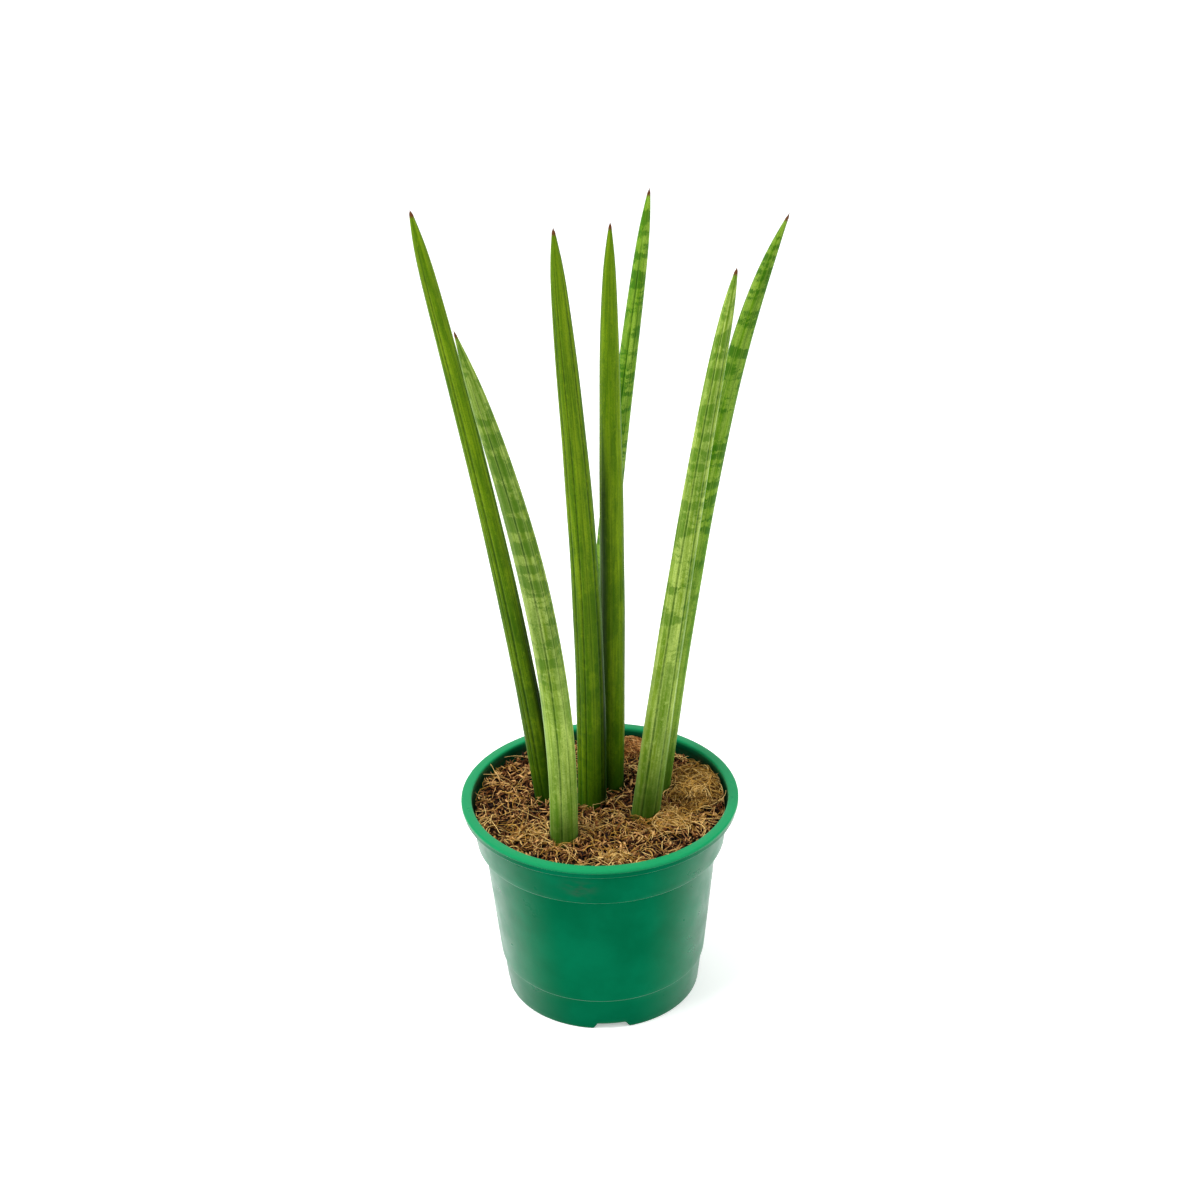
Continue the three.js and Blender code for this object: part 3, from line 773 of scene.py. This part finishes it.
def cut_drain_holes(piece, circle):
    """Six round holes through the floor, evenly spaced on a circle."""
    turn = np.arange(HOLE_SIDES) * FULL_TURN / HOLE_SIDES
    levels = np.array([FOOT_RECESS - 1, FOOT_RECESS + FLOOR_THICKNESS + 1]) * MM
    around, caps = skin(2, HOLE_SIDES)
    points, quads, triangles = [], [], []
    for i in range(HOLE_COUNT):
        at = i * FULL_TURN / HOLE_COUNT + PLANT_TURN
        middle = circle * math.cos(at), circle * math.sin(at)
        x = middle[0] + HOLE_RADIUS * MM * np.cos(turn)
        y = middle[1] + HOLE_RADIUS * MM * np.sin(turn)
        rod = field(x, y, levels[:, None])
        points.append(with_ends(rod, (*middle, levels[0]), (*middle, levels[1])))
        quads.append(around + i * len(points[0]))
        triangles.append(caps + i * len(points[0]))
    finish = piece.data.materials[0]
    rods = make_piece("drain_rods", *map(np.concatenate, (points, quads, triangles)), finish)
    cut = piece.modifiers.new("drain_holes", "BOOLEAN")
    cut.operation = "DIFFERENCE"
    cut.solver = "EXACT"
    cut.object = rods
    bpy.context.view_layer.update()
    ready = piece.evaluated_get(bpy.context.evaluated_depsgraph_get())
    bored = bpy.data.meshes.new_from_object(ready)
    piece.modifiers.remove(cut)
    piece.data = bored
    bpy.data.objects.remove(rods)


# ---- coir

BED_TURNS = 300
BED_RINGS = 120
BED_TOP = 5.5 * MM  # corners of the CAD bed that lie no lower than this under its highest one
LEVEL_REACH = 3.5 * MM  # how far one of them makes itself felt
BED_DROP = 2.3 * MM
CRUMB_HEIGHT = 1.0 * MM
CRUMBS = ((0.5, 8), (0.5, 3.4), (0.3, 1.8))  # share and length in millimetres of each unevenness
SIDE_PROFILE = np.array([
    [0.98, 0.93], [0.962, 0.87], [0.92, 0.83], [0.893, 0.8], [0.79, 0.175], [0.75, 0.1],
    [0.74, 0.0], [0.4, 0.0], [0.01, 0.0]])  # shares of the bed's radius and of its height
SIDE_TINT = 0.2
SOCKET_GAP = 0.5 * MM
SOCKET_SLOPE = 0.4 * MM
LEAF_MARGIN = 0.6 * MM
WALL_MARGIN = 0.8 * MM
SHADE_DEPTH = 0.75 * MM  # painted shade: a fibre is darkest this far under the bed's level, and below it
SHADE_SPAN = 1.6 * MM  # and has its full tint this far above there

# Each patch: middle, half sizes and number of fibres. Lengths of the coir's fibres, their
# radii and how far they are lifted are in millimetres; curl, arch and tilt are shares of length.
GOLDEN_PATCHES = (
    ((34, -16), (15, 10), 300), ((6, -46), (13, 7), 90), ((44, 18), (10, 16), 300),
    ((-30, -26), (16, 14), 110), ((2, -20), (22, 16), 110),
)
COIR_LAYERS = (
    ("coir_chips", "coir", 4200, (), dict(
        length=(1.5, 3.9), radius=(0.3, 0.72), curl=0.08, arch=0.08, tilt=0.8, lift=(-2.0, 1.2),
        steps=3, sides=5, flat=0.55)),
    ("coir_short_fibres", "coir", 2300, (), dict(
        length=(1.6, 6.5), radius=(0.15, 0.36), curl=0.12, arch=0.14, tilt=0.5, lift=(-0.7, 1.5),
        tints=(0.3, 1.0))),
    ("coir_golden_fibres", "coir_golden", 260, GOLDEN_PATCHES, dict(
        length=(4, 11), radius=(0.16, 0.28), curl=0.4, arch=0.25, tilt=0.2, lift=(0.0, 1.5),
        steps=6, tints=(0.2, 1.0))),
    ("coir_long_fibres", "coir_golden", 110, (), dict(
        length=(12, 30), radius=(0.1, 0.16), curl=0.35, arch=0.12, tilt=0.02, lift=(0.6, 1.6),
        steps=14, tints=(0.55, 1.0))),
)
CLUMPS = (
    ("fibre_tuft_back", "coir_reddish", 520, (4, 9), 0.7, 41),
    ("fibre_mat_right", "coir_golden", 760, (6, 16), 0.6, 42),
)  # each clump's finish, number of fibres, their lengths and curl, and its random seed
CLUMP_FILL = 0.8  # share of its CAD space, across and in height, that a clump takes


class Bed:
    """The coir's surface: its level at any place, its edge, and where the leaves stand in it."""

    def __init__(self):
        points = distinct_points("coir_substrate")
        self.low, self.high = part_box("coir_substrate")
        self.top = points[points[:, 2] > self.high.z - BED_TOP]
        self.edge = np.hypot(self.top[:, 0], self.top[:, 1]).max()
        self.mean = float(np.median(self.top[:, 2]))
        self.leaves = []
        for name in LEAVES:
            heights, middle, girth = leaf_line(name)
            x, y, radius = (
                float(smooth_through(np.array([self.mean]), heights, v)[0])
                for v in (middle[:, 0], middle[:, 1], girth)
            )
            lean = (middle[1] - middle[0]) / (heights[1] - heights[0])
            self.leaves.append((x, y, radius, lean, heights[0]))

    def level(self, x, y):
        """Height of the CAD bed at each place: its top corners' mean, weighted by nearness."""
        flat = np.stack([np.ravel(x), np.ravel(y)], -1)
        total, weight = np.zeros(len(flat)), np.zeros(len(flat))
        for corner in self.top:
            away = ((flat - corner[:2]) ** 2).sum(1)
            near = np.exp(-away / (2 * LEVEL_REACH ** 2)) + 1e-12
            total += near * corner[2]
            weight += near
        return (total / weight).reshape(np.shape(x))

    def shade(self, points):
        """Painted shade: share of its tint that a fibre keeps at each point, from its height over
        the bed.
        """
        depth = points[..., 2] - self.level(points[..., 0], points[..., 1])
        return np.clip((depth + SHADE_DEPTH) / SHADE_SPAN, 0.0, 1.0)

    def clear_of_leaves(self, x, y, margin):
        clear = np.ones(np.shape(x), bool)
        for leaf_x, leaf_y, radius, _, _ in self.leaves:
            clear &= np.hypot(x - leaf_x, y - leaf_y) > radius + margin
        return clear


def make_bed(bed, finish):
    """A round block: rings of points from its middle out over its crumbly top, down its side
    and in over its bottom. The crumbs are sums of plane waves of three lengths. Round each
    leaf the top drops into a socket that leans as it does."""
    rng = np.random.default_rng(21)
    share = np.linspace(0.004, 0.985, BED_RINGS)
    angle = np.arange(BED_TURNS) * FULL_TURN / BED_TURNS
    x = bed.edge * share[:, None] * np.cos(angle)
    y = bed.edge * share[:, None] * np.sin(angle)
    crumbs = sum(part * waves(x, y, rng, length * MM) for part, length in CRUMBS)
    z = bed.level(x, y) - BED_DROP + CRUMB_HEIGHT * crumbs
    tint = np.clip(0.12 + 0.1 * waves(x, y, rng, 2.2 * MM), 0, 1)
    for leaf_x, leaf_y, radius, lean, buried in bed.leaves:
        away = np.hypot(x - leaf_x, y - leaf_y)
        inside = np.clip((radius + SOCKET_GAP + SOCKET_SLOPE - away) / SOCKET_SLOPE, 0, 1)
        drop = inside * (z - buried + SOCKET_GAP)
        x, y, z = x - lean[0] * drop, y - lean[1] * drop, z - drop
    side_radius = bed.edge * SIDE_PROFILE[:, :1]
    side = field(
        side_radius * np.cos(angle), side_radius * np.sin(angle),
        bed.low.z + (bed.mean - bed.low.z) * SIDE_PROFILE[:, 1:])
    grid = np.concatenate([field(x, y, z), side])[::-1]
    tints = np.concatenate([tint, np.full(side.shape[:2], SIDE_TINT)])[::-1]
    quads, triangles = skin(len(grid), BED_TURNS)
    ends = [(0, 0, bed.low.z), (0, 0, float(z[0].mean()))]
    values = {"tint": np.append(tints.ravel(), [SIDE_TINT, 0.4])}
    return make_piece("coir_bed", with_ends(grid, *ends), quads, triangles, finish, values)


def scattered(bed, count, rng, spread=None):
    """Random places on the bed, clear of the leaves: even over the disc, or round the middle
    of a patch, in millimetres, with the given half sizes."""
    places = np.empty((0, 2))
    while len(places) < count:
        if spread is None:
            radius = (bed.edge - 1.0 * MM) * np.sqrt(rng.uniform(0, 1, count))
            angle = rng.uniform(0, FULL_TURN, count)
            x, y = radius * np.cos(angle), radius * np.sin(angle)
        else:
            x, y = turned(*(m * MM + h * MM * rng.normal(0, 0.5, count) for m, h in zip(*spread)))
        good = bed.clear_of_leaves(x, y, LEAF_MARGIN) & (np.hypot(x, y) < bed.edge - WALL_MARGIN)
        places = np.concatenate([places, np.stack([x[good], y[good]], -1)])
    return places[:count]


def make_fibres(name, bed, places, rng, finish, length, radius, curl, arch, tilt, lift,
                steps=4, sides=3, tints=(0.0, 1.0), ceiling=None, flat=1.0, mound=None):
    """Many small curved rods. The middle line of each runs from its place in a random heading,
    bends sideways as half a sine wave, and lies on the bed, raised by its lift, by an arch of
    half a sine wave and by its tilt. It is drawn in from the pot's wall, pushed off the leaves
    and kept under the ceiling. A section with few sides is carried along it, thinner towards
    both ends. Its tint is its own, times a painted shade that darkens each point the lower it
    stands among the bed's gaps."""
    count = len(places)
    heading = rng.uniform(0, FULL_TURN, count)
    long = rng.uniform(*np.multiply(length, MM), count)
    thick = rng.uniform(*np.multiply(radius, MM), count)
    bend = rng.uniform(-1, 1, count) * curl * long
    raised = rng.uniform(0, 1, count) ** 2 * arch * long
    slope = rng.normal(0, 1, count) * tilt * long
    base = rng.uniform(*np.multiply(lift, MM), count)
    t = np.linspace(0, 1, steps + 1)[None, :]
    half = np.sin(math.pi * t)
    ahead = (t - 0.5) * long[:, None]
    aside = bend[:, None] * half
    x = places[:, :1] + ahead * np.cos(heading)[:, None] - aside * np.sin(heading)[:, None]
    y = places[:, 1:] + ahead * np.sin(heading)[:, None] + aside * np.cos(heading)[:, None]
    away = np.hypot(x, y)
    within = np.minimum(1, (bed.edge - 0.3 * MM - thick[:, None]) / away)
    x, y = x * within, y * within
    z = bed.level(x, y) + base[:, None] + raised[:, None] * half + slope[:, None] * (t - 0.5)
    if mound is not None:
        z = z + mound(x, y) * rng.uniform(0.15, 1, count)[:, None]
    for leaf_x, leaf_y, leaf_radius, _, _ in bed.leaves:
        apart = np.hypot(x - leaf_x, y - leaf_y)
        push = np.maximum(leaf_radius + 0.35 * MM + thick[:, None] - apart, 0)
        x = x + push * (x - leaf_x) / apart
        y = y + push * (y - leaf_y) / apart
    if ceiling is not None:
        z = np.minimum(z, ceiling)
    line = np.stack([x, y, z], -1)
    taper = thick[:, None] * (0.45 + 0.55 * half ** 0.5)
    own = rng.uniform(*tints, count)[:, None]
    # each fibre's own tint times the painted shade of the bed's gaps at its points
    piece = make_rods(name, line, taper, sides, finish, lambda p: own * bed.shade(p), flat)
    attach(piece, "root")
    return piece


def make_coir(bed, finishes):
    """The bed, the chips and fibres that lie on it, and the two clumps."""
    block = make_bed(bed, finishes["coir"])
    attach(block, "root")
    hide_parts("coir_substrate")
    rng = np.random.default_rng(31)
    for name, slot, count, patches, shape in COIR_LAYERS:
        spots = [scattered(bed, n, rng, patch) for *patch, n in patches]
        places = np.concatenate(spots + [scattered(bed, count, rng)])
        make_fibres(name, bed, places, rng, finishes[slot], **shape)
    for node, slot, *shape in CLUMPS:
        make_clump(node, bed, finishes[slot], *shape)


def make_clump(node, bed, finish, count, length, curl, seed):
    """A mound of tangled fibres in the space of its CAD clump: an upturned bowl over an oval."""
    rng = np.random.default_rng(seed)
    low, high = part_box(node)
    middle = (np.array(low) + np.array(high))[:2] / 2
    half = (np.array(high) - np.array(low))[:2] / 2
    angle = rng.uniform(0, FULL_TURN, 4 * count)
    reach = np.sqrt(rng.uniform(0, 1, 4 * count)) * CLUMP_FILL
    x = middle[0] + half[0] * reach * np.cos(angle)
    y = middle[1] + half[1] * reach * np.sin(angle)
    good = bed.clear_of_leaves(x, y, LEAF_MARGIN) & (np.hypot(x, y) < bed.edge - 1 * MM)
    places = np.stack([x[good], y[good]], -1)[:count]
    peak = high.z - float(bed.level(middle[:1], middle[1:])[0])

    def bowl(at_x, at_y):
        out = ((at_x - middle[0]) / half[0]) ** 2 + ((at_y - middle[1]) / half[1]) ** 2
        return CLUMP_FILL * peak * np.sqrt(np.clip(1 - out, 0, 1))

    piece = make_fibres(
        node + "_strands", bed, places, rng, finish, length, (0.17, 0.3), curl, 0.18, 0.22,
        (0.0, 0.8), steps=8, ceiling=high.z - 0.2 * MM, mound=bowl)
    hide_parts(node)
    return piece


LOOSE_FIBRES = ("loose_fibre_left", "loose_fibre_front", "loose_fibre_right")
ROD_SIDES = 6  # of the CAD's rods, and of the fibres that stand for them
STRAND_STEPS = 48
STRAND_RADIUS = 0.2 * MM
STRAND_WAVE = 0.25 * MM
STRAND_LIFT = 0.1 * MM
STRAND_TINT = 0.9


def make_strand(node, finish, seed):
    """A fine fibre along the middle line of its CAD rod. Along the rod's longest direction its
    corners come in rings, whose means are the line; a small wave is added to it."""
    rng = np.random.default_rng(seed)
    points = distinct_points(node)
    main = np.linalg.svd(points - points.mean(0), full_matrices=False)[2][0]
    points = points[np.argsort(points @ main)]
    whole = len(points) // ROD_SIDES * ROD_SIDES
    rings = points[:whole].reshape(-1, ROD_SIDES, 3).mean(1)
    knots = np.arange(len(rings), dtype=float)
    t = np.linspace(0, knots[-1], STRAND_STEPS + 1)
    line = np.stack([smooth_through(t, knots, rings[:, i]) for i in range(3)], -1)
    line[:, 2] += STRAND_WAVE * np.sin(t * rng.uniform(1.1, 1.6)) + STRAND_LIFT
    thick = STRAND_RADIUS * (0.4 + 0.6 * np.sin(math.pi * t / knots[-1]) ** 0.4)
    piece = make_rods(
        node + "_fine", line[None], thick[None], ROD_SIDES, finish,
        lambda p: np.full(p.shape[:2], STRAND_TINT))
    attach(piece, "root")
    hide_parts(node)


STRAYS = (
    (-106, 96, 0.9), (-176, 100, 1.0), (-60, 97, 0.5), (-7, 100, 1.1), (62, 98, 0.8),
    (128, 98, 0.8), (150, 99, 0.6), (-148, 97, 0.7), (24, 99, 0.7), (-32, 98, 0.6),
    (106, 97, 0.5), (172, 98, 0.5),
)  # heading from the pot's middle in degrees, height of the outer end and a share of full length
STRAY_LENGTH = 9 * MM
STRAY_RADIUS = 0.2 * MM
STRAY_SIDES = 5
STRAY_TINT = 0.95


def make_strays(bed, finish):
    """Long fine fibres at the coir's edge. Each starts on the bed and runs out to the inner
    wall, quickly at first, while it turns a little about the pot's axis. It rises as the
    distance along it to the power 1.6, with half a sine wave on top."""
    rng = np.random.default_rng(61)
    t = np.linspace(0, 1, 17)
    heading, height, share = np.array(STRAYS, float).T[..., None]
    start = np.radians(heading) + PLANT_TURN
    turn = start + rng.uniform(-0.28, 0.28, start.shape) * share * t
    out = bed.edge + 0.2 * MM - STRAY_LENGTH * share * (1 - t) ** 2
    base = bed.level(out[:, :1] * np.cos(start), out[:, :1] * np.sin(start)) + 0.8 * MM
    rise = base + (height * MM + 1.3 * MM - base) * t ** 1.6 + 0.5 * MM * np.sin(math.pi * t)
    thick = STRAY_RADIUS * (1 - 0.5 * t) * np.ones_like(start)
    strays = make_rods(
        "coir_stray_fibres", field(out * np.cos(turn), out * np.sin(turn), rise), thick,
        STRAY_SIDES, finish, lambda p: np.full(p.shape[:2], STRAY_TINT))
    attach(strays, "root")


# ---- studio

FLOOR_REACH = 9.0
FLOOR_GLOW = 0.4
LIGHT_TARGET = (0, 0, 0.16)
LIGHTS = (
    ("top_light", (-0.3, -0.25, 1.3), 0.5, 13), ("left_light", (-1.3, -0.5, 0.6), 1.1, 7),
    ("right_light", (1.3, -0.4, 0.7), 0.9, 7),
)  # name, place before the plant's turn, size in metres and power in watts
WORLD_BRIGHT = 1.05
WORLD_DIM = 0.1  # straight in front of the plant


def make_floor():
    """A wide white floor, which glows a little so that it is as white as its surroundings."""
    material, w, shader = new_material("floor_paper")
    place = w.node("ShaderNodeTexCoord").outputs["Object"]
    w.feed(shader, {
        "Base Color": w.blend(w.noise(place, 3.0), (0.9, 0.9, 0.9, 1), (0.93, 0.93, 0.93, 1)),
        "Roughness": 0.9, "Specular IOR Level": 0.1,
        "Emission Color": (1, 1, 1, 1), "Emission Strength": FLOOR_GLOW,
    })
    corners = np.array([[-1, -1, 0], [1, -1, 0], [1, 1, 0], [-1, 1, 0]]) * FLOOR_REACH
    floor = make_piece("floor", corners, np.array([[0, 1, 2, 3]]), np.empty((0, 3), int), material)


def make_light(name, place, size, power):
    """A square soft light at a place, turned towards the plant."""
    data = bpy.data.lights.new(name, "AREA")
    data.size = size
    data.energy = power
    light = bpy.data.objects.new(name, data)
    bpy.context.scene.collection.objects.link(light)
    light.location = (*turned(*place[:2]), place[2])
    toward = Matrix.Translation(LIGHT_TARGET).translation - light.location
    light.rotation_euler = toward.to_track_quat("-Z", "Y").to_euler()


def make_studio():
    """Surroundings that look white, but light the plant and show in the pot less from the
    front, with a soft light from above and one at each side."""
    world = bpy.data.worlds.new("studio")
    world.use_nodes = True
    bpy.context.scene.world = world
    w = Wiring(world.node_tree)
    direction = w.node("ShaderNodeTexCoord").outputs["Generated"]
    front = (*turned(0.0, -1.0), 0.1)
    facing = w.node("ShaderNodeVectorMath", {0: direction, 1: front}, operation="DOT_PRODUCT")
    dimmed = w.between(facing.outputs["Value"], 0.1, 0.75, WORLD_BRIGHT, WORLD_DIM)
    seen = w.times(w.node("ShaderNodeLightPath").outputs["Is Camera Ray"], WORLD_BRIGHT)
    w.feed(world.node_tree.nodes["Background"], {
        "Color": (1, 1, 1, 1), "Strength": w.math("MAXIMUM", dimmed, seen)})
    for light in LIGHTS:
        make_light(*light)
    bpy.context.scene.view_settings.view_transform = "Standard"


# ---- the plant

make_camera()
leaf_groups = {"streaks": lengthwise_streaks(), "bands": ragged_bands(), "point": dry_point()}
leaf_tones = {"leaf_dark": DARK_LEAF, "leaf_pale": PALE_LEAF, "leaf_banded": BANDED_LEAF}
finishes = {name: leaf_finish(name, tones, leaf_groups) for name, tones in leaf_tones.items()}
fibre_group = fibre_tones()
finishes.update({name: fibre_finish(name, fibre_group) for name in FIBRES})
coir = Bed()
for leaf, (leaf_slot, leaf_seed, grooves) in LEAVES.items():
    make_leaf(leaf, finishes[leaf_slot], leaf_seed, grooves, coir.mean)
make_pot(pot_finish())
make_coir(coir, finishes)
for number, fibre in enumerate(LOOSE_FIBRES):
    make_strand(fibre, finishes["coir_golden"], 51 + number)
make_strays(coir, finishes["coir_golden"])
make_floor()
make_studio()
